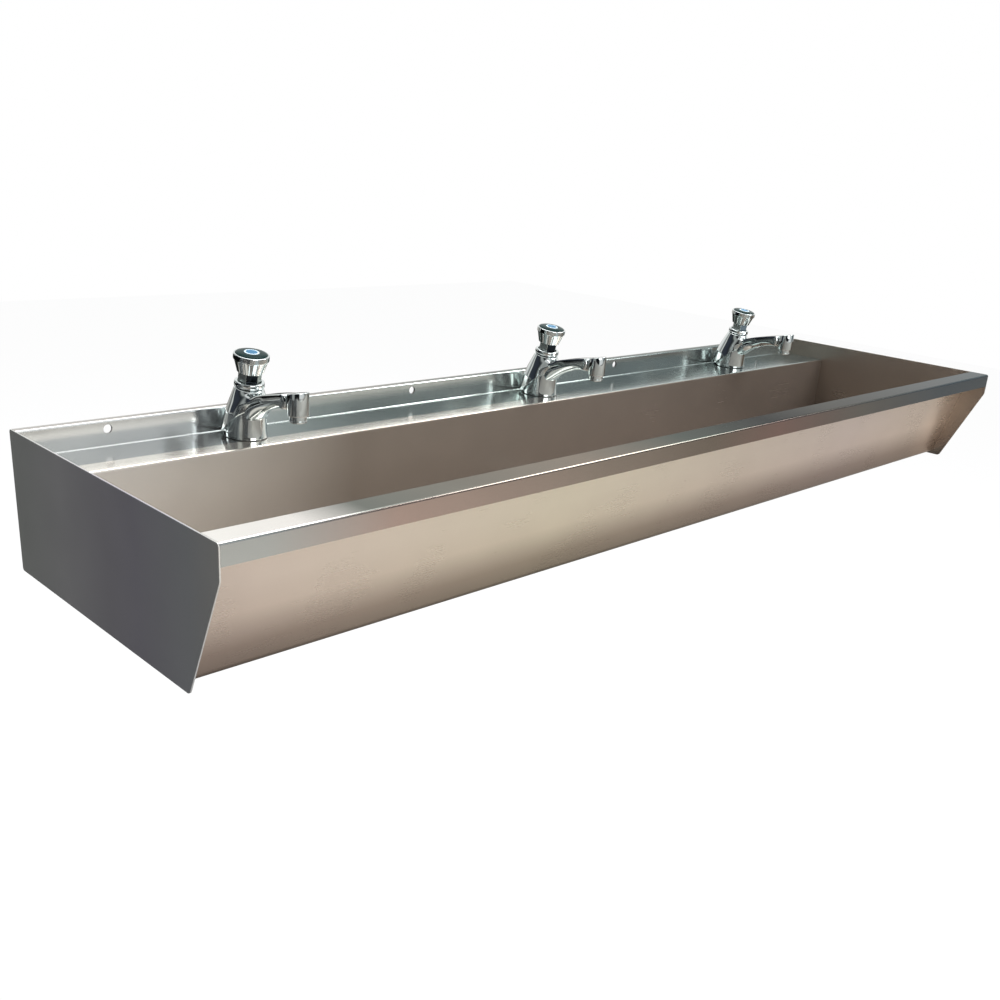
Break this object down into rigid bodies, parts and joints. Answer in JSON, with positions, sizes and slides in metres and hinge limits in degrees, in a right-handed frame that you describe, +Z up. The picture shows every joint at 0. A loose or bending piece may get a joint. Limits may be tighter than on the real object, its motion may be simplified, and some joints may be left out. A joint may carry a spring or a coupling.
{
  "type": "trough sink",
  "caption": "Wall-hung steel wash trough with a flat front rim, a recessed tap ledge, upright end panels, a waste outlet and self-closing push taps.",
  "frame": {"origin": "the middle of the row of wall-fixing holes, in the plane of the wall", "axes": "X along the trough, +Y into the wall, +Z up; the front of the trough faces -Y"},
  "size_m": [1.8, 0.5, 0.334],
  "materials": {
    "trough_steel": "fine satin grain along the trough",
    "panel_steel": "satin",
    "rail_steel": "plain rolled",
    "waste_metal": "satin",
    "seal_rubber": "matt",
    "nut_brass": "machined",
    "tap_chrome": "polished",
    "cartridge_chrome": "polished",
    "spindle_steel": "turned",
    "spring_steel": "drawn wire",
    "knob_chrome": "polished",
    "disc_dark": "glossy",
    "index_blue": "glossy"
  },
  "bodies": {
    "sink": {"trough_shell": "trough_steel", "end_panel_left": "panel_steel", "end_panel_right": "panel_steel", "fixing_rail": "rail_steel", "waste_flange": "waste_metal", "waste_grid": "waste_metal", "waste_screw": "waste_metal", "waste_seal": "seal_rubber", "waste_washer": "seal_rubber", "waste_backnut": "nut_brass", "tap_body_left": "tap_chrome", "tap_collar_left": "tap_chrome", "tap_cartridge_left": "cartridge_chrome", "tap_spring_left": "spring_steel", "tap_outlet_left": "tap_chrome", "tap_seal_left": "seal_rubber", "tap_shank_left": "nut_brass", "tap_washer_left": "rail_steel", "tap_backnut_left": "nut_brass", "tap_body_middle": "tap_chrome", "tap_collar_middle": "tap_chrome", "tap_cartridge_middle": "cartridge_chrome", "tap_spring_middle": "spring_steel", "tap_outlet_middle": "tap_chrome", "tap_seal_middle": "seal_rubber", "tap_shank_middle": "nut_brass", "tap_washer_middle": "rail_steel", "tap_backnut_middle": "nut_brass", "tap_body_right": "tap_chrome", "tap_collar_right": "tap_chrome", "tap_cartridge_right": "cartridge_chrome", "tap_spring_right": "spring_steel", "tap_outlet_right": "tap_chrome", "tap_seal_right": "seal_rubber", "tap_shank_right": "nut_brass", "tap_washer_right": "rail_steel", "tap_backnut_right": "nut_brass"},
    "button_left": {"tap_spindle_left": "spindle_steel", "tap_knob_left": "knob_chrome", "tap_disc_left": "disc_dark", "tap_index_left": "index_blue"},
    "button_middle": {"tap_spindle_middle": "spindle_steel", "tap_knob_middle": "knob_chrome", "tap_disc_middle": "disc_dark", "tap_index_middle": "index_blue"},
    "button_right": {"tap_spindle_right": "spindle_steel", "tap_knob_right": "knob_chrome", "tap_disc_right": "disc_dark", "tap_index_right": "index_blue"}
  },
  "joints": [
    {"name": "push_left", "type": "slide", "parent": "sink", "child": "button_left", "axis": [0, 0.165, -0.9863], "range_m": [0, 0.006], "stiffness_N_per_m": 2000, "springref_m": -0.006, "deforming": ["tap_spring_left"]},
    {"name": "push_middle", "type": "slide", "parent": "sink", "child": "button_middle", "axis": [0, 0.165, -0.9863], "range_m": [0, 0.006], "stiffness_N_per_m": 2000, "springref_m": -0.006, "deforming": ["tap_spring_middle"]},
    {"name": "push_right", "type": "slide", "parent": "sink", "child": "button_right", "axis": [0, 0.165, -0.9863], "range_m": [0, 0.006], "stiffness_N_per_m": 2000, "springref_m": -0.006, "deforming": ["tap_spring_right"]}
  ]
}
